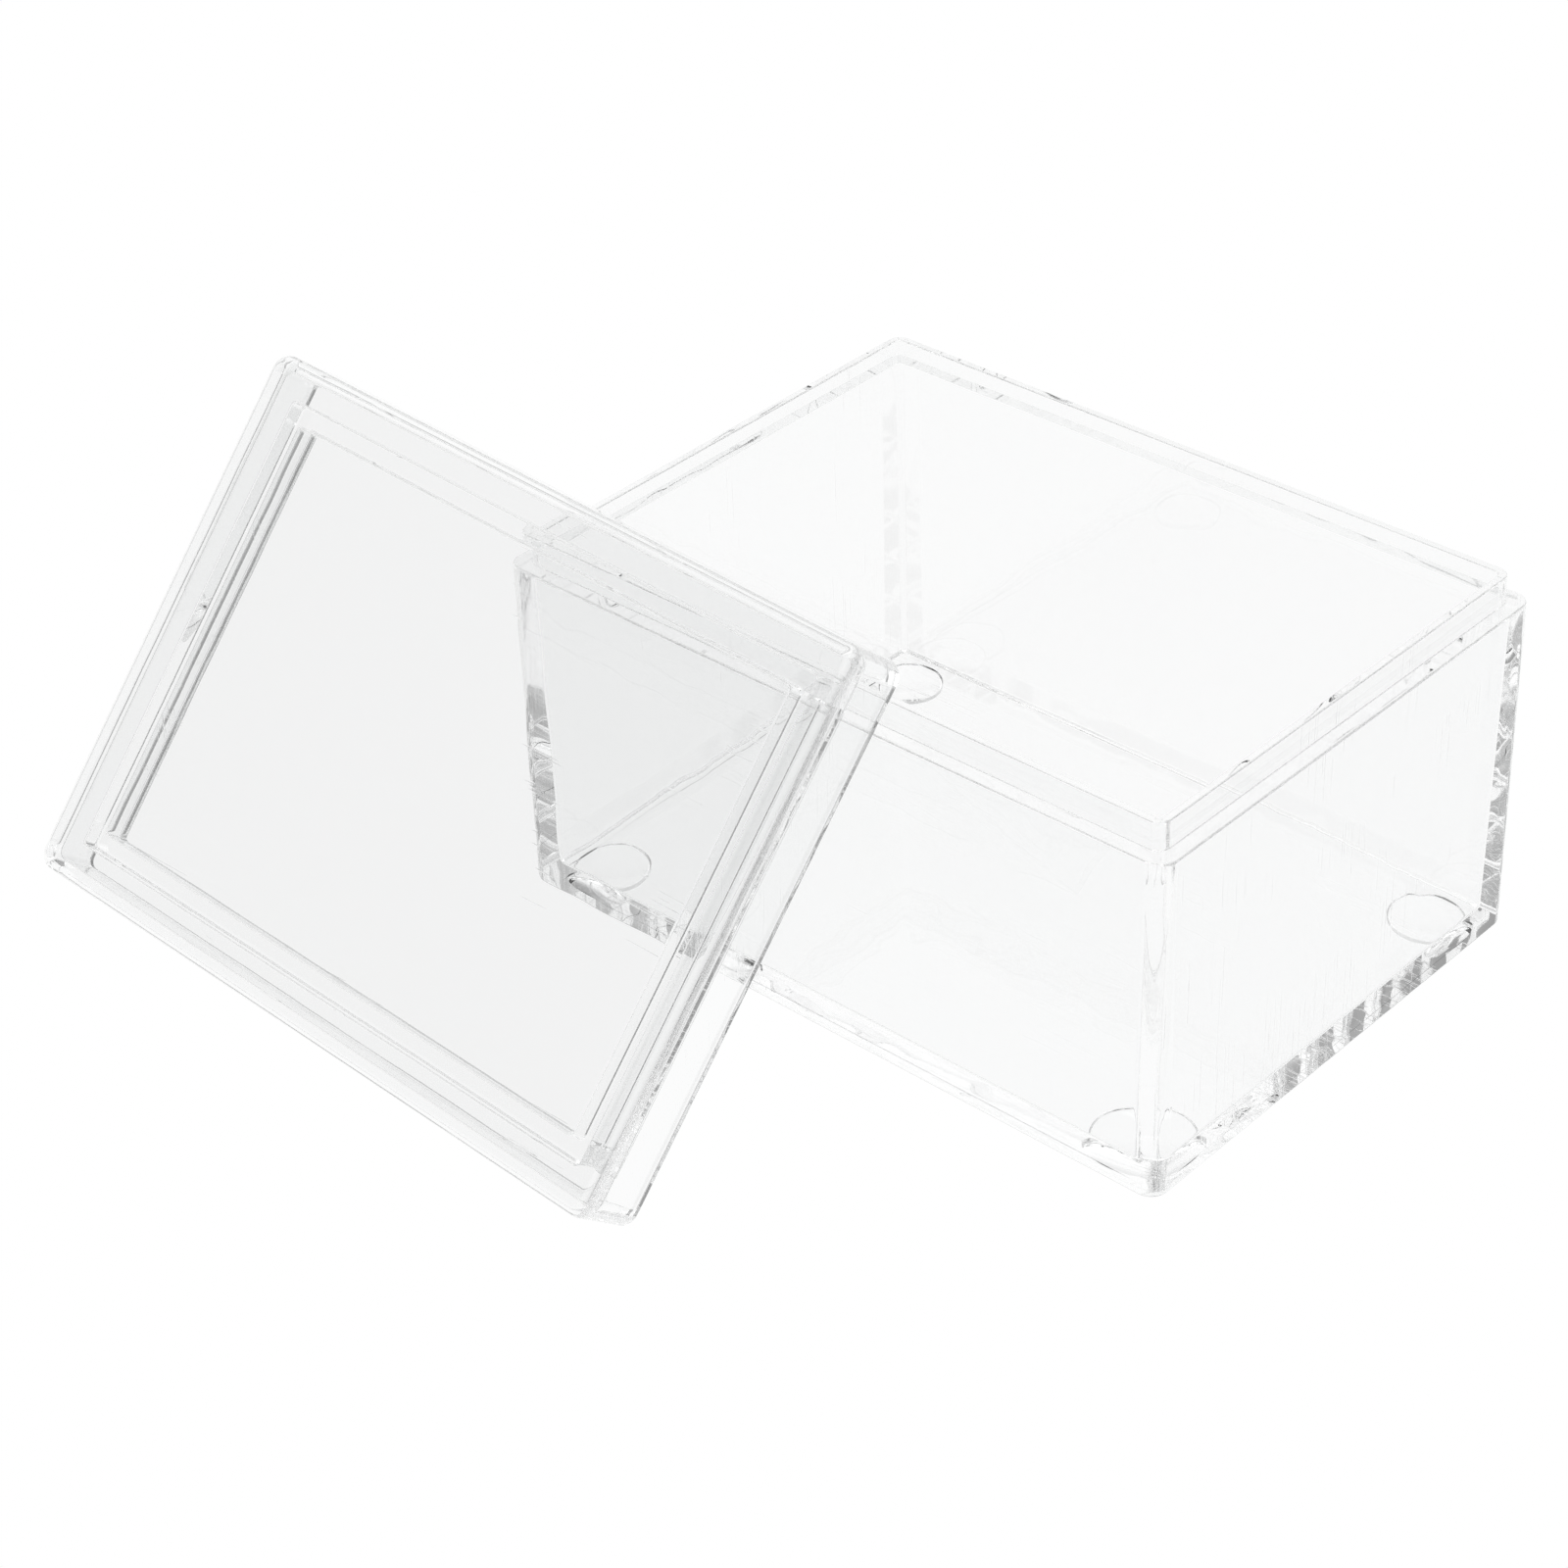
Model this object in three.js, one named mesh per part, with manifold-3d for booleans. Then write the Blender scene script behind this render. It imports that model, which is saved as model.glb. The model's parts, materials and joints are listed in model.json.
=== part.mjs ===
// Clear card deck box, lid off and leaning on the box. Millimetres, +Z up.
// Two injection mouldings: a box with a raised lip and four moulded feet, and
// a lift-off lid whose skirt drops over the lip while a ring moulded inside
// its panel goes down within the lip.
// Origin: centre of the box's underside. X runs along the long side.
import * as THREE from 'three';
import { mergeVertices } from 'three/addons/utils/BufferGeometryUtils.js';
import Module from 'manifold-3d';

const wasm = await Module();
wasm.setup();

// ---- driving dimensions ----
const LENGTH = 100;            // outside, long side
const WIDTH = 72;              // outside, short side
const CORNER_RADIUS = 2.4;     // outer upright corners, box and lid
const WALL_TOP = 3.1;          // box wall at the top of the lip
const WALL_FOOT = 3.9;         // box wall at the floor, thicker by the draft
const FLOOR = 3;               // box floor
const SHOULDER_HEIGHT = 47;    // underside to the shoulder the lid sits on
const LIP_HEIGHT = 3.8;        // lip above the shoulder
const LIP_SETBACK = 2;         // shoulder width, outer wall to lip
const LIP_RADIUS = 1.8;        // outer upright corners of the lip
const CAVITY_RADIUS = 0.8;     // inner upright corners
const FOOT_RADIUS = 4.8;
const FOOT_HEIGHT = 0.8;
const FOOT_INSET = 8.5;        // foot centre to each side

const LID_HEIGHT = 10;
const LID_TOP = 3.5;           // panel thickness
const LID_EDGE_RADIUS = 1.6;   // round along the panel's outer edges
const FIT_GAP = 0.25;          // skirt to lip, each side
const SKIRT = LIP_SETBACK - FIT_GAP;
const SKIRT_RADIUS = 1.2;      // inner upright corners of the skirt
const RING_INSET = 5;          // outer wall to the ring's outer face
const RING_WIDTH = 2.4;
const RING_HEIGHT = 4.2;       // below the panel

// ---- how the lid leans ----
const LEAN = 50;               // lid panel to the ground, degrees
const SWING = 2.4;             // turn in the lid's own plane, degrees
const LID_SHIFT = -41.7;       // lid centre along X
const REST_GAP = 0.3;          // rim end to the lip it leans on

const rad = THREE.MathUtils.degToRad;

// ---- shapes ----
function roundedRectangle(length, width, radius) {
  const x = length / 2;
  const y = width / 2;
  const shape = new THREE.Shape();
  shape.moveTo(-x + radius, -y);
  shape.lineTo(x - radius, -y);
  shape.absarc(x - radius, -y + radius, radius, -Math.PI / 2, 0);
  shape.lineTo(x, y - radius);
  shape.absarc(x - radius, y - radius, radius, 0, Math.PI / 2);
  shape.lineTo(-x + radius, y);
  shape.absarc(-x + radius, y - radius, radius, Math.PI / 2, Math.PI);
  shape.lineTo(-x, -y + radius);
  shape.absarc(-x + radius, -y + radius, radius, Math.PI, Math.PI * 1.5);
  return shape;
}

function toManifold(geometry) {
  const bare = geometry.clone();
  bare.deleteAttribute('normal');
  bare.deleteAttribute('uv');
  const merged = mergeVertices(bare, 1e-4);
  return new wasm.Manifold(new wasm.Mesh({
    numProp: 3,
    vertProperties: new Float32Array(merged.attributes.position.array),
    triVerts: new Uint32Array(merged.index.array),
  }));
}

// A slab with upright rounded corners between two heights, set in from the
// outline by the same amount all round. With draft, its lower end is set in
// further by that much.
function slab(inset, radius, bottom, top, draft = 0) {
  const shape = roundedRectangle(LENGTH - 2 * inset, WIDTH - 2 * inset, radius);
  const geometry = new THREE.ExtrudeGeometry(shape, {
    depth: top - bottom,
    bevelEnabled: false,
    curveSegments: 10,
  });
  geometry.translate(0, 0, bottom);
  const points = geometry.attributes.position;
  for (let i = 0; i < points.count; i += 1) {
    if (points.getZ(i) < (bottom + top) / 2) {
      points.setX(i, points.getX(i) - Math.sign(points.getX(i)) * draft);
      points.setY(i, points.getY(i) - Math.sign(points.getY(i)) * draft);
    }
  }
  return toManifold(geometry);
}

// A slab rounded over along its top and bottom edges.
function roundedSlab(radius, edgeRadius, bottom, top) {
  const shape = roundedRectangle(LENGTH, WIDTH, radius);
  const geometry = new THREE.ExtrudeGeometry(shape, {
    depth: top - bottom - 2 * edgeRadius,
    bevelEnabled: true,
    bevelThickness: edgeRadius,
    bevelSize: edgeRadius,
    bevelOffset: -edgeRadius,
    bevelSegments: 6,
    curveSegments: 10,
  });
  geometry.translate(0, 0, bottom + edgeRadius);
  return toManifold(geometry);
}

function footDisc(x, y) {
  const overlap = 1;
  const geometry = new THREE.CylinderGeometry(
    FOOT_RADIUS, FOOT_RADIUS, FOOT_HEIGHT + overlap, 48);
  geometry.rotateX(Math.PI / 2);
  geometry.translate(x, y, (overlap - FOOT_HEIGHT) / 2);
  return toManifold(geometry);
}

function toMesh(manifold, name, material) {
  const data = manifold.getMesh();
  const geometry = new THREE.BufferGeometry();
  geometry.setAttribute(
    'position', new THREE.BufferAttribute(new Float32Array(data.vertProperties), 3));
  geometry.setIndex(new THREE.BufferAttribute(new Uint32Array(data.triVerts), 1));
  geometry.computeVertexNormals();
  const mesh = new THREE.Mesh(geometry, material);
  mesh.name = name;
  return mesh;
}

// ---- the box: walls, floor, lip and feet in one moulding ----
function boxMoulding() {
  const top = SHOULDER_HEIGHT + LIP_HEIGHT;
  let body = slab(0, CORNER_RADIUS, 0, SHOULDER_HEIGHT);
  body = body.add(slab(LIP_SETBACK, LIP_RADIUS, SHOULDER_HEIGHT - 1, top));
  body = body.subtract(slab(WALL_TOP, CAVITY_RADIUS, FLOOR, top, WALL_FOOT - WALL_TOP));
  body = body.subtract(slab(WALL_TOP, CAVITY_RADIUS, top - 0.01, top + 1));
  for (const sideX of [-1, 1]) {
    for (const sideY of [-1, 1]) {
      const x = sideX * (LENGTH / 2 - FOOT_INSET);
      const y = sideY * (WIDTH / 2 - FOOT_INSET);
      body = body.add(footDisc(x, y));
    }
  }
  return body;
}

// ---- the lid, as it sits on the box: rim end at z = 0, panel above ----
function lidMoulding() {
  const panelInside = LID_HEIGHT - LID_TOP;
  const ringInside = RING_INSET + RING_WIDTH;
  let lid = roundedSlab(CORNER_RADIUS, LID_EDGE_RADIUS, -2 * LID_EDGE_RADIUS, LID_HEIGHT);
  lid = lid.subtract(slab(-1, CORNER_RADIUS, -LID_HEIGHT, 0));
  lid = lid.subtract(slab(SKIRT, SKIRT_RADIUS, -1, panelInside));
  let ring = slab(RING_INSET, CAVITY_RADIUS, panelInside - RING_HEIGHT, panelInside + 1);
  ring = ring.subtract(slab(ringInside, CAVITY_RADIUS, -1, panelInside));
  return lid.add(ring);
}

// ---- the leaning pose ----
// The lid stands on its lower long edge, panel outward, with the end of its
// skirt against the box's lip.
function leaningPose() {
  const lean = new THREE.Matrix4().makeRotationX(rad(LEAN));
  const swing = new THREE.Matrix4().makeRotationZ(rad(-SWING));
  const pose = lean.multiply(swing);

  // lowest point of the rim end's outline, with its corners rounded
  const outline = roundedRectangle(LENGTH, WIDTH, CORNER_RADIUS).getPoints(24);
  let lowest = Infinity;
  for (const point of outline) {
    const corner = new THREE.Vector3(point.x, point.y, 0).applyMatrix4(pose);
    lowest = Math.min(lowest, corner.z);
  }
  const lift = -FOOT_HEIGHT - lowest;

  // push out along -Y until the rim end's plane clears the lip's top edge
  const lipY = -(WIDTH / 2 - LIP_SETBACK);
  const lipZ = SHOULDER_HEIGHT + LIP_HEIGHT;
  const planeReach = -Math.sin(rad(LEAN)) * lipY + Math.cos(rad(LEAN)) * lipZ + REST_GAP;
  const shiftY = (planeReach - Math.cos(rad(LEAN)) * lift) / -Math.sin(rad(LEAN));
  const place = new THREE.Matrix4().makeTranslation(LID_SHIFT, shiftY, lift);
  return place.multiply(pose);
}

// ---- assembly ----
function clearPlastic() {
  return new THREE.MeshStandardMaterial({
    color: new THREE.Color(0.93, 0.94, 0.94),
    roughness: 0.05,
    metalness: 0,
    transparent: true,
    opacity: 0.3,
  });
}

const group = new THREE.Group();
group.name = 'card_deck_box';

const box = toMesh(boxMoulding(), 'box_base', clearPlastic());
group.add(box);

const lid = toMesh(lidMoulding(), 'lid', clearPlastic());
lid.geometry.applyMatrix4(leaningPose());
lid.geometry.computeVertexNormals();
group.add(lid);

export default group;
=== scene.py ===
"""Clear card deck box: the box and its leaning lid, moulded in clear polystyrene.

Each moulding is one closed skin, so light bends through it as it does through
the real part. The skin is a cross-section of the wall carried round the box's
rounded outline, with every edge slightly rounded.
"""

import json
import math

import bmesh
import bpy
from mathutils import Matrix, Vector


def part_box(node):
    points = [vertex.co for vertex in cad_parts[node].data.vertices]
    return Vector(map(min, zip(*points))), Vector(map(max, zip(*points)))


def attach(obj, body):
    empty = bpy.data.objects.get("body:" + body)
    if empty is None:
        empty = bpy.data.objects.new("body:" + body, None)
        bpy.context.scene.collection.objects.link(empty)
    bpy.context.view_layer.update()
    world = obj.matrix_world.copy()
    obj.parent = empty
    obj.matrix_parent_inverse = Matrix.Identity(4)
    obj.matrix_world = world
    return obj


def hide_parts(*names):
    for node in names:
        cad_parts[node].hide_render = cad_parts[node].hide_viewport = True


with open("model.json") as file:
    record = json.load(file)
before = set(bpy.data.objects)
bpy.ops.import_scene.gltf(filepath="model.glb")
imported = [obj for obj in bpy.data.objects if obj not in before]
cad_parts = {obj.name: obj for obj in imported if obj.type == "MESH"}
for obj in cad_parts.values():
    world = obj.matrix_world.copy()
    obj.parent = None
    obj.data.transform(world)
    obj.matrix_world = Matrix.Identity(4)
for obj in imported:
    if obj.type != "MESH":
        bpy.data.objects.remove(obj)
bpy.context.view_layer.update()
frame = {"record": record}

bl_info = {
    "name": "Card deck box",
    "version": (1, 0, 0),
    "blender": (4, 5, 0),
    "location": "View3D > Sidebar > Deck box",
    "description": "Makes a clear card deck box and its lid",
    "category": "Add Mesh",
}

BASE_LOW, BASE_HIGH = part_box("box_base")
BOX_LENGTH = BASE_HIGH.x - BASE_LOW.x
BOX_WIDTH = BASE_HIGH.y - BASE_LOW.y
BOX_TOP = BASE_HIGH.z
MOUNTS = {mount["name"]: mount for mount in frame["record"]["mounts"]}

# Steps round an upright corner, and round the small edges of each section.
CORNER_STEPS = 14
BOX_EDGE_STEPS = 6
LID_EDGE_STEPS = 8

# How far in from the side each section ends, where a flat face takes over.
UNDERSIDE_END = 0.004
FLOOR_END = 0.009
PANEL_OUTSIDE_END = 0.016
PANEL_INSIDE_END = 0.014

# Small edge rounds.
LIP_FOOT_ROUND = 0.00015
LIP_TOP_ROUND = 0.00025
LID_INNER_ROUND = 0.00030
LEAST_CORNER = 0.0008

FOOT_SIDES = 64
FOOT_RINGS = 16

# Scratches: the turn of each set and the noise level above which it shows.
SCRATCH_SETS = (
    ((0.3, 0.2, 0.5), 0.70),
    ((0.9, 0.4, 2.1), 0.71),
    ((0.1, 1.1, 1.3), 0.71),
)
SCRATCH_ACROSS = 2600.0
SCRATCH_ALONG = 45.0
SCRATCH_EDGE = 0.05
SCRATCH_DEPTH = 0.00002
SCRATCH_ROUGHNESS = 0.08
WEAR_SCALE = 60.0
WEAR_FROM = 0.42
WEAR_TO = 0.62
RIPPLE_SCALE = 170.0
RIPPLE_DEPTH = 0.0002

WHITE = (1.0, 1.0, 1.0, 1.0)
FLOOR_DROP = 0.0001
BRIGHT_HEIGHT = 0.6
LIGHT_BOUNCES = 96
SENSOR_WIDTH = 36.0


# ---------------------------------------------------------------------------
# Sizes, finish and stage
# ---------------------------------------------------------------------------

def length(name, description, default):
    return bpy.props.FloatProperty(
        name=name, description=description, default=default,
        min=0.0, precision=5, subtype="DISTANCE", unit="LENGTH")


class BoxSizes(bpy.types.PropertyGroup):
    """The box's own sizes."""

    corner: length("Corner radius", "Upright outer corners", 0.0024)
    wall_top: length("Wall, top", "Wall thickness at the top of the lip", 0.0031)
    wall_foot: length("Wall, foot", "Wall thickness at the floor", 0.0039)
    floor: length("Floor", "Floor thickness", 0.003)
    shoulder: length("Shoulder", "Underside to the shoulder the lid sits on", 0.047)
    lip_setback: length("Lip setback", "Outer wall to the lip", 0.002)
    lip_corner: length("Lip corner radius", "Upright outer corners of the lip", 0.0018)
    cavity_corner: length("Cavity corner radius", "Upright corners inside", 0.0008)
    cavity_round: length("Cavity round", "Round where the wall meets the floor inside", 0.0006)
    edge_round: length("Edge round", "Round of the outer edges", 0.00035)
    foot_radius: length("Foot radius", "Radius of each round foot", 0.0048)
    foot_height: length("Foot height", "Height of each foot", 0.0008)
    foot_inset: length("Foot inset", "Foot centre to each side", 0.0085)


class LidSizes(bpy.types.PropertyGroup):
    """The lid's own sizes."""

    height: length("Height", "Rim end to the outer face of the panel", 0.010)
    panel: length("Panel", "Panel thickness", 0.0035)
    skirt: length("Skirt", "Thickness of the skirt round the edge", 0.00175)
    skirt_corner: length("Skirt corner radius", "Upright corners inside the skirt", 0.0012)
    ring_corner: length("Ring corner radius", "Upright corners of the ring", 0.0008)
    ring_inset: length("Ring inset", "Outer wall to the ring's outer face", 0.005)
    ring_width: length("Ring width", "Thickness of the ring", 0.0024)
    ring_height: length("Ring height", "Height of the ring below the panel", 0.0042)
    edge_round: length("Edge round", "Round along the panel's outer edges", 0.0016)
    swing: bpy.props.FloatProperty(
        name="Swing", description="Turn of the lid in its own plane",
        default=math.radians(2.4), subtype="ANGLE", unit="ROTATION")


class PlasticLook(bpy.types.PropertyGroup):
    """The clear plastic."""

    tint: bpy.props.FloatVectorProperty(
        name="Tint", description="Colour of the light that passes through",
        subtype="COLOR", size=3, default=(0.965, 0.968, 0.968), min=0.0, max=1.0)
    index: bpy.props.FloatProperty(
        name="Index", description="Index of refraction of crystal polystyrene",
        default=1.59, min=1.0, max=2.0)
    roughness: bpy.props.FloatProperty(
        name="Roughness", description="Roughness of the polished faces",
        default=0.0, min=0.0, max=1.0)
    scratches: bpy.props.FloatProperty(
        name="Scratches", description="How strongly the fine scratches show",
        default=0.35, min=0.0, max=1.0)
    ripple: bpy.props.FloatProperty(
        name="Ripple", description="How strongly the moulded faces ripple",
        default=0.15, min=0.0, max=1.0)


class StageLook(bpy.types.PropertyGroup):
    """Floor, room and camera."""

    floor_size: length("Floor size", "Side of the pale floor", 6.0)
    floor_white: bpy.props.FloatProperty(
        name="Floor white", description="Brightness of the lit white floor",
        default=1.0, min=0.0)
    walls_low: bpy.props.FloatProperty(
        name="Walls, low", description="Brightness of the surround at floor level",
        default=0.30, min=0.0)
    walls_high: bpy.props.FloatProperty(
        name="Walls, high", description="Brightness of the surround overhead",
        default=1.08, min=0.0)
    gap_near: bpy.props.FloatVectorProperty(
        name="Near gap", description="Direction of the dark gap beside the camera",
        subtype="DIRECTION", size=3, default=(0.632, -0.678, 0.375))
    gap_far: bpy.props.FloatVectorProperty(
        name="Far gap", description="Direction of the dark gap behind the box",
        subtype="DIRECTION", size=3, default=(0.389, 0.732, 0.559))
    gap_left: bpy.props.FloatVectorProperty(
        name="Left gap", description="Direction of the dark gap the lid faces",
        subtype="DIRECTION", size=3, default=(-0.546, -0.699, 0.462))
    gap_depths: bpy.props.FloatVectorProperty(
        name="Gap depths", description="How dark the near, far and left gaps are",
        size=3, default=(1.0, 0.65, 0.7), min=0.0, max=1.0)
    gap_width: bpy.props.FloatProperty(
        name="Gap width", description="How far each gap reaches to each side",
        default=math.radians(28.0), subtype="ANGLE", unit="ROTATION")
    lamp_size: length("Lamp size", "Side of the soft lamp overhead", 1.2)
    lamp_height: length("Lamp height", "Height of the soft lamp", 1.6)
    lamp_power: bpy.props.FloatProperty(
        name="Lamp power", description="Power of the soft lamp",
        default=4.5, subtype="POWER", unit="POWER")
    camera_at: bpy.props.FloatVectorProperty(
        name="Camera", description="Where the camera stands",
        subtype="TRANSLATION", unit="LENGTH", size=3,
        default=(0.250243, -0.307250, 0.288579))
    camera_right: bpy.props.FloatVectorProperty(
        name="Camera right", description="Direction of the camera's right",
        subtype="DIRECTION", size=3, default=(0.741177, 0.670605, -0.030753))
    camera_back: bpy.props.FloatVectorProperty(
        name="Camera back", description="Direction from the scene to the camera",
        subtype="DIRECTION", size=3, default=(0.566832, -0.600625, 0.563872))
    lens: bpy.props.FloatProperty(
        name="Lens", description="Focal length in millimetres on a 36 mm sensor",
        default=88.11)


# ---------------------------------------------------------------------------
# Node trees written as expressions
# ---------------------------------------------------------------------------

class Socket:
    """A node's output, so that sums on it build Math nodes."""

    def __init__(self, nodes, link):
        self.nodes = nodes
        self.link = link

    def math(self, operation, *values):
        return self.nodes.add(
            "ShaderNodeMath", {"operation": operation},
            dict(enumerate((self,) + values)))

    def __add__(self, other):
        return self.math("ADD", other)

    __radd__ = __add__

    def __mul__(self, other):
        return self.math("MULTIPLY", other)

    __rmul__ = __mul__

    def __sub__(self, other):
        return self.math("SUBTRACT", other)

    def __rsub__(self, other):
        return self.nodes.add(
            "ShaderNodeMath", {"operation": "SUBTRACT"}, {0: other, 1: self})

    def __truediv__(self, other):
        return self.math("DIVIDE", other)

    def __rtruediv__(self, other):
        return self.nodes.add(
            "ShaderNodeMath", {"operation": "DIVIDE"}, {0: other, 1: self})


class Nodes:
    """Adds nodes to one tree."""

    def __init__(self, tree):
        self.tree = tree
        tree.nodes.clear()

    def add(self, kind, settings=None, inputs=None, output=0):
        node = self.tree.nodes.new(kind)
        for name, value in (settings or {}).items():
            setattr(node, name, value)
        for name, value in (inputs or {}).items():
            if isinstance(value, Socket):
                self.tree.links.new(value.link, node.inputs[name])
            else:
                node.inputs[name].default_value = value
        if len(node.outputs) == 0:
            return node
        return Socket(self, node.outputs[output])


# ---------------------------------------------------------------------------
# Clear plastic
# ---------------------------------------------------------------------------

def scratch_set(nodes, place, turn, share):
    """Hairline scratches that all run one way; 1 on a scratch, 0 between."""
    turned = nodes.add(
        "ShaderNodeMapping", {"vector_type": "POINT"},
        {"Vector": place, "Rotation": turn, "Scale": (SCRATCH_ALONG, SCRATCH_ACROSS, SCRATCH_ALONG)})
    streaks = nodes.add(
        "ShaderNodeTexNoise", {"noise_dimensions": "3D"},
        {"Vector": turned, "Scale": 1.0, "Detail": 1.0, "Roughness": 0.4})
    return nodes.add(
        "ShaderNodeMapRange", {"interpolation_type": "SMOOTHSTEP"},
        {"Value": streaks, "From Min": share, "From Max": share + SCRATCH_EDGE})


def clear_polystyrene(name):
    """Polished clear polystyrene with fine handling scratches."""
    look = bpy.context.scene.deck_box_plastic
    material = bpy.data.materials.new(name)
    material.use_nodes = True
    nodes = Nodes(material.node_tree)
    place = nodes.add("ShaderNodeTexCoord", output=3)
    scratches = None
    for turn, share in SCRATCH_SETS:
        one = scratch_set(nodes, place, turn, share)
        scratches = one if scratches is None else scratches.math("MAXIMUM", one)
    cloud = nodes.add(
        "ShaderNodeTexNoise", {"noise_dimensions": "3D"},
        {"Vector": place, "Scale": WEAR_SCALE, "Detail": 2.0, "Roughness": 0.5})
    worn = nodes.add(
        "ShaderNodeMapRange", {"interpolation_type": "SMOOTHSTEP"},
        {"Value": cloud, "From Min": WEAR_FROM, "From Max": WEAR_TO})
    marks = scratches * worn
    swell = nodes.add(
        "ShaderNodeTexNoise", {"noise_dimensions": "3D"},
        {"Vector": place, "Scale": RIPPLE_SCALE, "Detail": 0.0})
    ripple = nodes.add(
        "ShaderNodeBump", {},
        {"Height": swell, "Strength": look.ripple, "Distance": RIPPLE_DEPTH})
    bump = nodes.add(
        "ShaderNodeBump", {},
        {"Height": marks, "Strength": look.scratches, "Distance": SCRATCH_DEPTH,
         "Normal": ripple})
    shader = nodes.add(
        "ShaderNodeBsdfPrincipled", {"distribution": "MULTI_GGX"},
        {"Base Color": (*look.tint, 1.0),
         "Roughness": marks * SCRATCH_ROUGHNESS + look.roughness,
         "IOR": look.index,
         "Transmission Weight": 1.0,
         "Normal": bump})
    nodes.add("ShaderNodeOutputMaterial", {}, {"Surface": shader})
    material.diffuse_color = (0.95, 0.96, 0.96, 0.3)
    return material


# ---------------------------------------------------------------------------
# Mouldings
# ---------------------------------------------------------------------------

def outline(half_length, half_width, radius, steps):
    """A rounded rectangle, anticlockwise: (x, y, outward x, outward y)."""
    points = []
    corners = (
        (half_length - radius, radius - half_width, -90.0),
        (half_length - radius, half_width - radius, 0.0),
        (radius - half_length, half_width - radius, 90.0),
        (radius - half_length, radius - half_width, 180.0),
    )
    for centre_x, centre_y, start in corners:
        for step in range(steps + 1):
            angle = math.radians(start + 90.0 * step / steps)
            out_x, out_y = math.cos(angle), math.sin(angle)
            points.append((centre_x + radius * out_x, centre_y + radius * out_y, out_x, out_y))
    return points


def round_corners(corners, steps):
    """Rounds a cross-section's corners.

    corners are (inset, height, round), walked with the plastic on the right.
    Gives (inset, height, normal inset, normal height) along the way.
    """
    section = []
    last = len(corners) - 1
    for index, (inset, height, radius) in enumerate(corners):
        here = Vector((inset, height))
        if index in (0, last):
            first = 0 if index == 0 else last - 1
            way = Vector(corners[first + 1][:2]) - Vector(corners[first][:2])
            way.normalize()
            section.append((inset, height, -way.y, way.x))
            continue
        way_in = (here - Vector(corners[index - 1][:2])).normalized()
        way_out = (Vector(corners[index + 1][:2]) - here).normalized()
        normal_in = Vector((-way_in.y, way_in.x))
        normal_out = Vector((-way_out.y, way_out.x))
        turn = way_in.angle(way_out)
        outer = way_in.x * way_out.y - way_in.y * way_out.x < 0
        side = -1.0 if outer else 1.0
        start = here - way_in * radius * math.tan(turn / 2)
        centre = start + normal_in * radius * side
        for step in range(steps + 1):
            share = step / steps
            normal = (normal_in * math.sin((1 - share) * turn)
                      + normal_out * math.sin(share * turn)) / math.sin(turn)
            point = centre - normal * radius * side
            section.append((point.x, point.y, normal.x, normal.y))
    return section


def blend(inset, known):
    """The corner radius at an inset, straight between the known ones."""
    before = known[0]
    for after in known:
        if inset <= after[0]:
            if after[0] == before[0]:
                return after[1]
            share = (inset - before[0]) / (after[0] - before[0])
            return before[1] + share * (after[1] - before[1])
        before = after
    return before[1]


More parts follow.
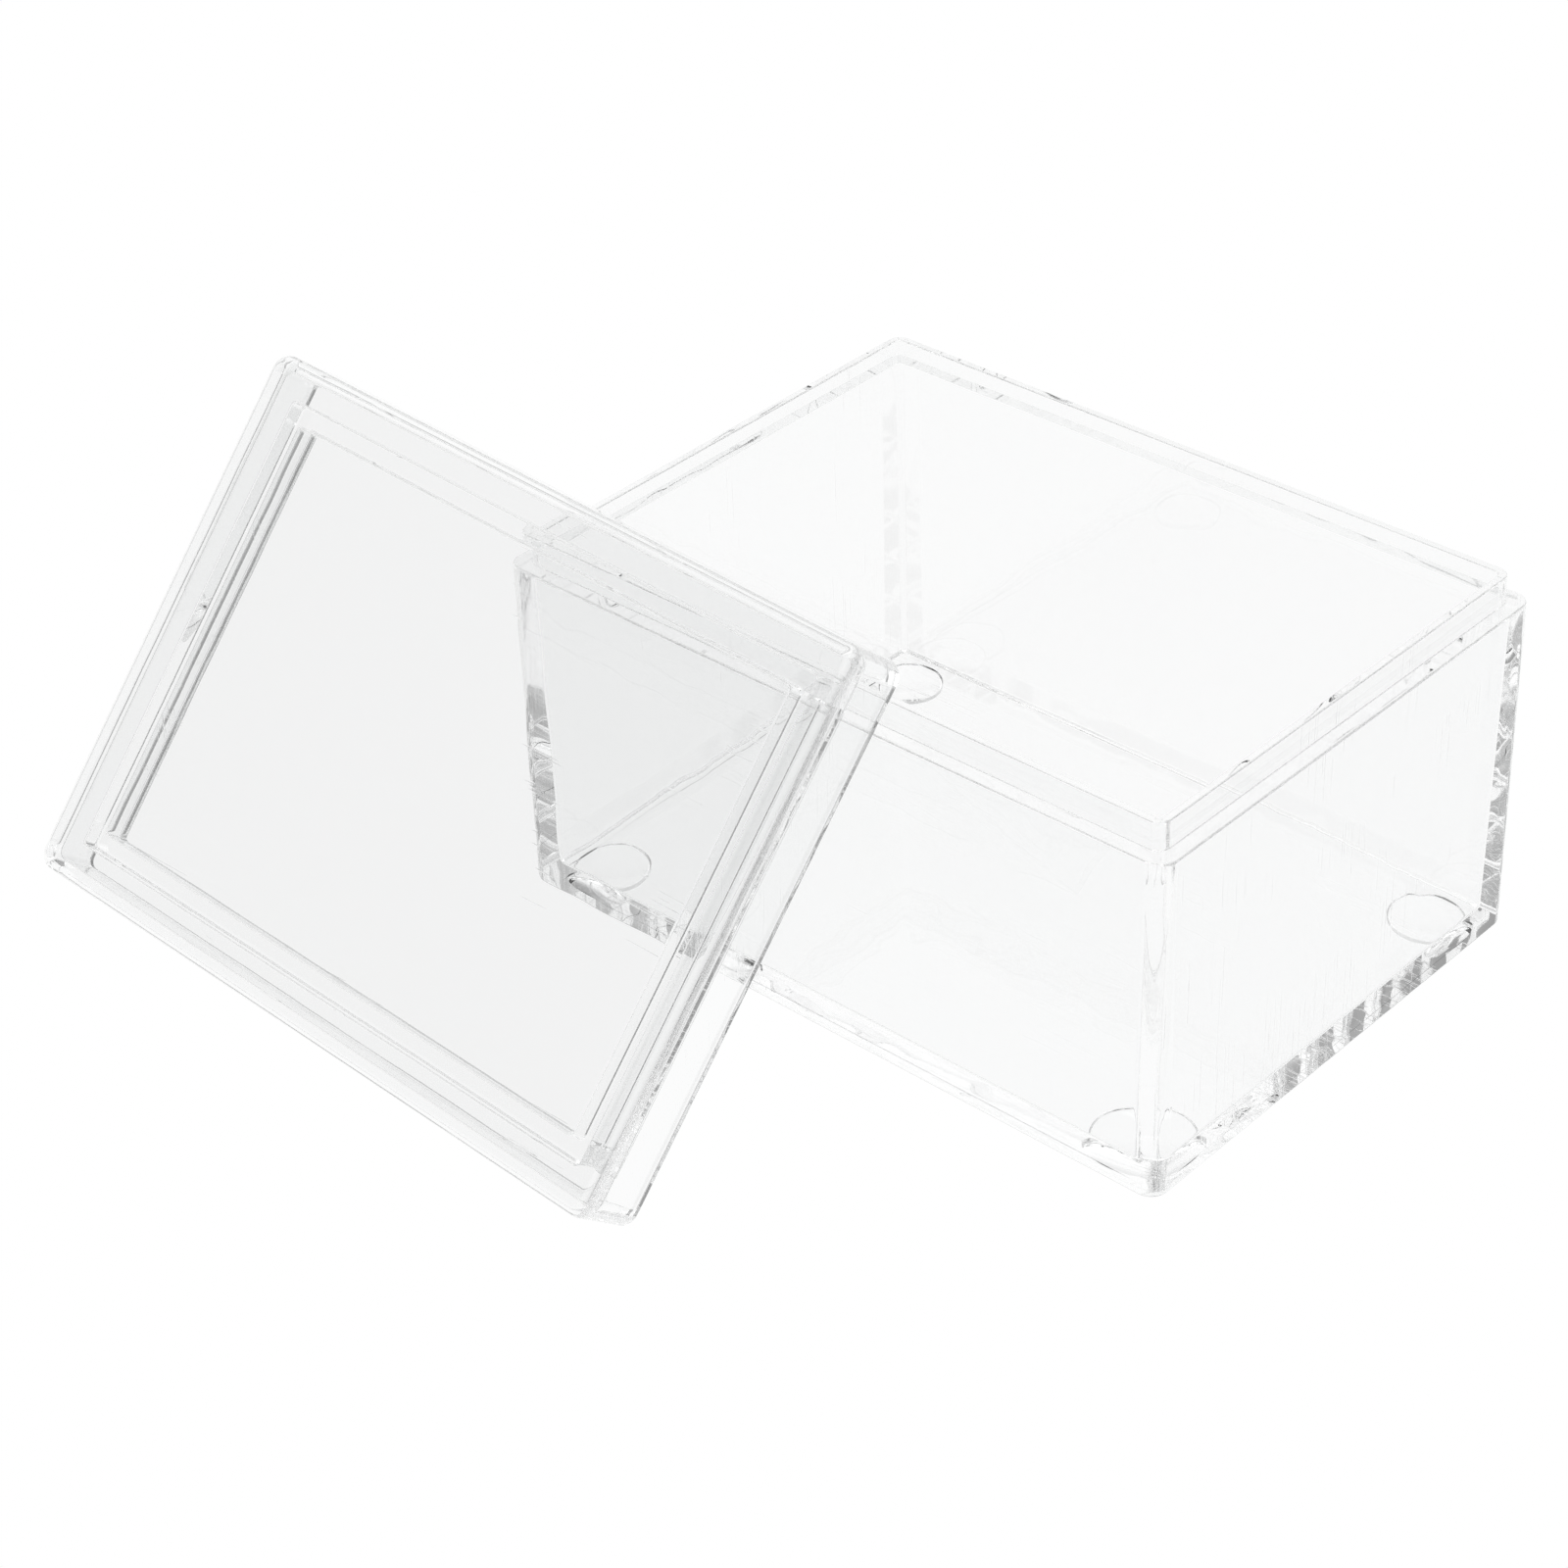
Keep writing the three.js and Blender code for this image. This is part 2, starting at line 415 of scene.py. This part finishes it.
class Skin:
    """Points, normals and faces of one closed moulding."""

    def __init__(self):
        self.points = []
        self.normals = []
        self.faces = []

    def carry(self, section, half_length, half_width, corner_at, steps):
        """Carries a cross-section round the outline and returns its rings.

        corner_at gives the upright corner's radius at an inset.
        """
        rings = []
        for inset, height, normal_inset, normal_height in section:
            corner = corner_at(inset)
            ring = []
            for x, y, out_x, out_y in outline(
                    half_length - inset, half_width - inset, corner, steps):
                ring.append(len(self.points))
                self.points.append(Vector((x, y, height)))
                self.normals.append(Vector(
                    (-normal_inset * out_x, -normal_inset * out_y, normal_height)))
            rings.append(ring)
        for low, high in zip(rings[:-1], rings[1:]):
            self.bridge(low, high)
        return rings

    def bridge(self, low, high):
        count = len(low)
        for index in range(count):
            after = (index + 1) % count
            self.faces.append((low[index], low[after], high[after], high[index]))

    def add_mesh(self, mesh):
        """Adds an open mesh and returns its rim loops, each in order."""
        start = len(self.points)
        for vertex in mesh.vertices:
            self.points.append(vertex.co.copy())
            self.normals.append(vertex.normal.copy())
        used = {}
        for face in mesh.polygons:
            loop = [start + index for index in face.vertices]
            self.faces.append(tuple(loop))
            for one, two in zip(loop, loop[1:] + loop[:1]):
                used[(one, two)] = True
        following = {two: one for one, two in used if (two, one) not in used}
        loops = []
        while following:
            first = next(iter(following))
            loop = [first]
            after = following.pop(first)
            while after != first:
                loop.append(after)
                after = following.pop(after)
            loops.append(loop)
        return loops

    def fill(self, loops, height_normal):
        """Fills a flat face that has holes in it."""
        work = bmesh.new()
        made = {}
        edges = []
        for loop in loops:
            corners = []
            for index in loop:
                vertex = work.verts.new(self.points[index])
                made[vertex] = index
                corners.append(vertex)
                self.normals[index] = Vector((0.0, 0.0, height_normal))
            for one, two in zip(corners, corners[1:] + corners[:1]):
                edges.append(work.edges.new((one, two)))
        bmesh.ops.triangle_fill(
            work, use_beauty=True, use_dissolve=False, edges=edges,
            normal=Vector((0.0, 0.0, height_normal)))
        for face in work.faces:
            self.faces.append(tuple(made[vertex] for vertex in face.verts))
        work.free()

    def finish(self, name, material, place=Matrix.Identity(4)):
        """Makes the object, with every face turned to its normals."""
        turned = []
        for face in self.faces:
            one, two, three = (self.points[index] for index in face[:3])
            facing = (two - one).cross(three - one)
            meant = sum((self.normals[index] for index in face), Vector())
            turned.append(face if facing.dot(meant) > 0 else tuple(reversed(face)))
        mesh = bpy.data.meshes.new(name)
        mesh.from_pydata([place @ point for point in self.points], [], turned)
        mesh.polygons.foreach_set("use_smooth", [True] * len(mesh.polygons))
        direction = place.to_3x3()
        mesh.normals_split_custom_set_from_vertices(
            [(direction @ normal).normalized() for normal in self.normals])
        mesh.materials.append(material)
        piece = bpy.data.objects.new(name, mesh)
        bpy.context.scene.collection.objects.link(piece)
        check_closed(piece)
        return piece


def check_closed(piece):
    work = bmesh.new()
    work.from_mesh(piece.data)
    loose = [edge for edge in work.edges if len(edge.link_faces) != 2]
    volume = work.calc_volume(signed=True)
    work.free()
    if loose or volume <= 0:
        raise RuntimeError(
            "%s isn't closed: %d loose edges, volume %.3g" % (piece.name, len(loose), volume))


def foot_tree():
    """Geometry nodes for round feet at the corners of a rectangle."""
    tree = bpy.data.node_groups.new("moulded_feet", "GeometryNodeTree")
    tree.interface.new_socket("Geometry", in_out="OUTPUT", socket_type="NodeSocketGeometry")
    for name in ("Radius", "Height", "Round", "Spacing X", "Spacing Y"):
        tree.interface.new_socket(name, in_out="INPUT", socket_type="NodeSocketFloat")
    tree.interface.new_socket("Material", in_out="INPUT", socket_type="NodeSocketMaterial")
    nodes = Nodes(tree)
    group_input = tree.nodes.new("NodeGroupInput")
    given = {socket.name: Socket(nodes, socket) for socket in group_input.outputs if socket.name}

    radius, height, edge = given["Radius"], given["Height"], given["Round"]
    drum = nodes.add(
        "GeometryNodeMeshCylinder", {"fill_type": "NGON"},
        {"Vertices": FOOT_SIDES, "Side Segments": FOOT_RINGS, "Fill Segments": 1,
         "Radius": radius, "Depth": height})
    drum = nodes.add(
        "GeometryNodeTransform", {},
        {"Geometry": drum,
         "Translation": nodes.add("ShaderNodeCombineXYZ", {}, {"Z": height * -0.5})})
    facing = nodes.add(
        "ShaderNodeSeparateXYZ", {},
        {"Vector": nodes.add("GeometryNodeInputNormal")}, output=2)
    drum = nodes.add(
        "GeometryNodeDeleteGeometry", {"domain": "FACE"},
        {"Geometry": drum, "Selection": facing.math("GREATER_THAN", 0.5)})

    place = nodes.add("GeometryNodeInputPosition")
    level = nodes.add("ShaderNodeSeparateXYZ", {}, {"Vector": place}, output=2)
    below = (edge - height - level).math("MAXIMUM", 0.0)
    drop = (edge * edge - below * below).math("MAXIMUM", 0.0).math("SQRT")
    narrow = (radius - edge + drop) / radius
    drum = nodes.add(
        "GeometryNodeSetPosition", {},
        {"Geometry": drum,
         "Position": nodes.add(
             "ShaderNodeVectorMath", {"operation": "MULTIPLY"},
             {0: place,
              1: nodes.add("ShaderNodeCombineXYZ", {}, {"X": narrow, "Y": narrow, "Z": 1.0})})})

    corners = nodes.add(
        "GeometryNodeMeshGrid", {},
        {"Size X": given["Spacing X"], "Size Y": given["Spacing Y"],
         "Vertices X": 2, "Vertices Y": 2})
    feet = nodes.add(
        "GeometryNodeInstanceOnPoints", {}, {"Points": corners, "Instance": drum})
    feet = nodes.add("GeometryNodeRealizeInstances", {}, {"Geometry": feet})
    feet = nodes.add(
        "GeometryNodeSetMaterial", {}, {"Geometry": feet, "Material": given["Material"]})
    nodes.add("NodeGroupOutput", {}, {"Geometry": feet})
    return tree


def make_feet(sizes, material):
    """The four feet, open where they meet the underside."""
    tree = foot_tree()
    holder = bpy.data.objects.new("feet", bpy.data.meshes.new("feet"))
    bpy.context.scene.collection.objects.link(holder)
    modifier = holder.modifiers.new("feet", "NODES")
    modifier.node_group = tree
    values = {
        "Radius": sizes.foot_radius,
        "Height": sizes.foot_height,
        "Round": sizes.edge_round,
        "Spacing X": BOX_LENGTH - 2 * sizes.foot_inset,
        "Spacing Y": BOX_WIDTH - 2 * sizes.foot_inset,
        "Material": material,
    }
    for item in tree.interface.items_tree:
        if item.item_type == "SOCKET" and item.in_out == "INPUT":
            modifier[item.identifier] = values[item.name]
    bpy.context.view_layer.update()
    graph = bpy.context.evaluated_depsgraph_get()
    feet = bpy.data.meshes.new_from_object(holder.evaluated_get(graph))
    bpy.data.objects.remove(holder)
    return feet


class DECKBOX_OT_box(bpy.types.Operator):
    """Make the box: floor, walls, shoulder, lip and feet in one moulding"""

    bl_idname = "deck_box.make_box"
    bl_label = "Box"

    def execute(self, context):
        sizes = context.scene.deck_box_box
        material = clear_polystyrene("box_polystyrene")
        edge = sizes.edge_round
        section = round_corners((
            (UNDERSIDE_END, 0.0, 0.0),
            (0.0, 0.0, edge),
            (0.0, sizes.shoulder, edge),
            (sizes.lip_setback, sizes.shoulder, LIP_FOOT_ROUND),
            (sizes.lip_setback, BOX_TOP, LIP_TOP_ROUND),
            (sizes.wall_top, BOX_TOP, LIP_TOP_ROUND),
            (sizes.wall_foot, sizes.floor, sizes.cavity_round),
            (FLOOR_END, sizes.floor, 0.0)), BOX_EDGE_STEPS)
        skin = Skin()
        corners = (
            (0.0, sizes.corner), (sizes.edge_round, sizes.corner - sizes.edge_round),
            (sizes.lip_setback, sizes.lip_corner), (sizes.wall_top, sizes.cavity_corner))
        rings = skin.carry(
            section, BOX_LENGTH / 2, BOX_WIDTH / 2,
            lambda inset: blend(inset, corners), CORNER_STEPS)
        skin.faces.append(tuple(rings[-1]))
        rims = skin.add_mesh(make_feet(sizes, material))
        skin.fill([rings[0]] + rims, -1.0)
        piece = skin.finish("clear_box", material)
        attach(piece, "box")
        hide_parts("box_base")
        return {"FINISHED"}


class DECKBOX_OT_lid(bpy.types.Operator):
    """Make the lid: panel, skirt and ring in one moulding, leaning on the box"""

    bl_idname = "deck_box.make_lid"
    bl_label = "Lid"

    def execute(self, context):
        sizes = context.scene.deck_box_lid
        corner = context.scene.deck_box_box.corner
        material = clear_polystyrene("lid_polystyrene")
        inside = sizes.height - sizes.panel
        ring_end = inside - sizes.ring_height
        ring_inner = sizes.ring_inset + sizes.ring_width
        corners = (
            (PANEL_OUTSIDE_END, sizes.height, 0.0),
            (0.0, sizes.height, sizes.edge_round),
            (0.0, 0.0, LID_INNER_ROUND),
            (sizes.skirt, 0.0, LID_INNER_ROUND),
            (sizes.skirt, inside, LID_INNER_ROUND),
            (sizes.ring_inset, inside, LID_INNER_ROUND),
            (sizes.ring_inset, ring_end, LID_INNER_ROUND),
            (ring_inner, ring_end, LID_INNER_ROUND),
            (ring_inner, inside, LID_INNER_ROUND),
            (PANEL_INSIDE_END, inside, 0.0))
        upside = [(inset, -height, radius) for inset, height, radius in corners]
        section = [(inset, -height, normal_inset, -normal_height)
                   for inset, height, normal_inset, normal_height in round_corners(upside, LID_EDGE_STEPS)]
        skin = Skin()
        radii = (
            (0.0, corner), (sizes.edge_round, max(corner - sizes.edge_round, LEAST_CORNER)),
            (sizes.skirt, sizes.skirt_corner), (sizes.ring_inset, sizes.ring_corner))
        rings = skin.carry(
            section, BOX_LENGTH / 2, BOX_WIDTH / 2,
            lambda inset: blend(inset, radii), CORNER_STEPS)
        skin.faces.append(tuple(rings[0]))
        skin.faces.append(tuple(reversed(rings[-1])))
        piece = skin.finish("clear_lid", material, self.place(sizes))
        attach(piece, "lid")
        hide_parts("lid")
        return {"FINISHED"}

    @staticmethod
    def place(sizes):
        """From the lid's own axes to where it leans, panel outwards."""
        panel = MOUNTS["lid_panel"]
        outward = Vector(panel["axis"]).normalized()
        lean = math.atan2(-outward.y, outward.z)
        turn = Matrix.Rotation(lean, 4, "X") @ Matrix.Rotation(-sizes.swing, 4, "Z")
        return (Matrix.Translation(Vector(panel["pos_m"])) @ turn
                @ Matrix.Translation((0.0, 0.0, -sizes.height)))


class DECKBOX_OT_stage(bpy.types.Operator):
    """Make the white floor, the soft light and the camera"""

    bl_idname = "deck_box.make_stage"
    bl_label = "Stage"

    def execute(self, context):
        look = context.scene.deck_box_stage
        self.make_floor(look)
        self.make_room(context.scene, look)
        self.make_lamp(look)
        self.make_camera(context.scene, look)
        return {"FINISHED"}

    @staticmethod
    def make_floor(look):
        half = look.floor_size / 2
        level = BASE_LOW.z - FLOOR_DROP
        mesh = bpy.data.meshes.new("floor")
        mesh.from_pydata(
            [(-half, -half, level), (half, -half, level), (half, half, level),
             (-half, half, level)], [], [(0, 1, 2, 3)])
        material = bpy.data.materials.new("lit_white_floor")
        material.use_nodes = True
        nodes = Nodes(material.node_tree)
        glow = nodes.add(
            "ShaderNodeEmission", {},
            {"Color": WHITE, "Strength": look.floor_white})
        nodes.add("ShaderNodeOutputMaterial", {}, {"Surface": glow})
        material.cycles.emission_sampling = "NONE"
        mesh.materials.append(material)
        floor = bpy.data.objects.new("floor", mesh)
        bpy.context.scene.collection.objects.link(floor)

    @staticmethod
    def make_room(scene, look):
        world = bpy.data.worlds.new("studio")
        world.use_nodes = True
        nodes = Nodes(world.node_tree)
        direction = nodes.add("ShaderNodeTexCoord")
        height = nodes.add("ShaderNodeSeparateXYZ", {}, {"Vector": direction}, output=2)
        shade = nodes.add(
            "ShaderNodeMapRange", {},
            {"Value": height, "From Min": 0.0, "From Max": BRIGHT_HEIGHT,
             "To Min": look.walls_low, "To Max": look.walls_high})
        gaps = (look.gap_near, look.gap_far, look.gap_left)
        for gap, depth in zip(gaps, look.gap_depths):
            towards = nodes.add(
                "ShaderNodeVectorMath", {"operation": "DOT_PRODUCT"},
                {0: direction, 1: Vector(gap).normalized()}, output=1)
            shade = shade * nodes.add(
                "ShaderNodeMapRange", {"interpolation_type": "SMOOTHSTEP"},
                {"Value": towards, "From Min": math.cos(look.gap_width), "From Max": 1.0,
                 "To Min": 1.0, "To Max": 1.0 - depth})
        background = nodes.add(
            "ShaderNodeBackground", {}, {"Color": shade, "Strength": 1.0})
        nodes.add("ShaderNodeOutputWorld", {}, {"Surface": background})
        scene.world = world
        scene.view_settings.view_transform = "Standard"
        scene.cycles.max_bounces = LIGHT_BOUNCES
        scene.cycles.transmission_bounces = LIGHT_BOUNCES
        scene.cycles.glossy_bounces = LIGHT_BOUNCES
        scene.cycles.blur_glossy = 0.0

    @staticmethod
    def make_lamp(look):
        data = bpy.data.lights.new("soft_lamp", "AREA")
        data.shape = "SQUARE"
        data.size = look.lamp_size
        data.energy = look.lamp_power
        lamp = bpy.data.objects.new("soft_lamp", data)
        lamp.location = (0.0, 0.0, look.lamp_height)
        bpy.context.scene.collection.objects.link(lamp)

    @staticmethod
    def make_camera(scene, look):
        data = bpy.data.cameras.new("camera")
        data.lens = look.lens
        data.sensor_width = SENSOR_WIDTH
        data.clip_start = 0.01
        camera = bpy.data.objects.new("camera", data)
        right = Vector(look.camera_right).normalized()
        back = Vector(look.camera_back).normalized()
        axes = Matrix((right, back.cross(right), back)).transposed().to_4x4()
        camera.matrix_world = Matrix.Translation(Vector(look.camera_at)) @ axes
        scene.collection.objects.link(camera)
        scene.camera = camera


class DECKBOX_PT_pieces(bpy.types.Panel):
    """Sizes and pieces of the deck box"""

    bl_label = "Deck box"
    bl_idname = "DECKBOX_PT_pieces"
    bl_space_type = "VIEW_3D"
    bl_region_type = "UI"
    bl_category = "Deck box"

    def draw(self, context):
        layout = self.layout
        for name, operator in (
                ("deck_box_stage", DECKBOX_OT_stage), ("deck_box_box", DECKBOX_OT_box),
                ("deck_box_lid", DECKBOX_OT_lid), ("deck_box_plastic", None)):
            group = getattr(context.scene, name)
            section = layout.box()
            for key in group.__annotations__:
                section.prop(group, key)
            if operator:
                section.operator(operator.bl_idname)


GROUPS = {
    "deck_box_box": BoxSizes,
    "deck_box_lid": LidSizes,
    "deck_box_plastic": PlasticLook,
    "deck_box_stage": StageLook,
}
CLASSES = (
    BoxSizes, LidSizes, PlasticLook, StageLook,
    DECKBOX_OT_box, DECKBOX_OT_lid, DECKBOX_OT_stage, DECKBOX_PT_pieces)


def register():
    for one in CLASSES:
        bpy.utils.register_class(one)
    for name, group in GROUPS.items():
        setattr(bpy.types.Scene, name, bpy.props.PointerProperty(type=group))


def unregister():
    for name in GROUPS:
        delattr(bpy.types.Scene, name)
    for one in reversed(CLASSES):
        bpy.utils.unregister_class(one)


def main():
    register()
    bpy.ops.deck_box.make_stage()
    bpy.ops.deck_box.make_box()
    bpy.ops.deck_box.make_lid()


if __name__ == "__main__":
    main()
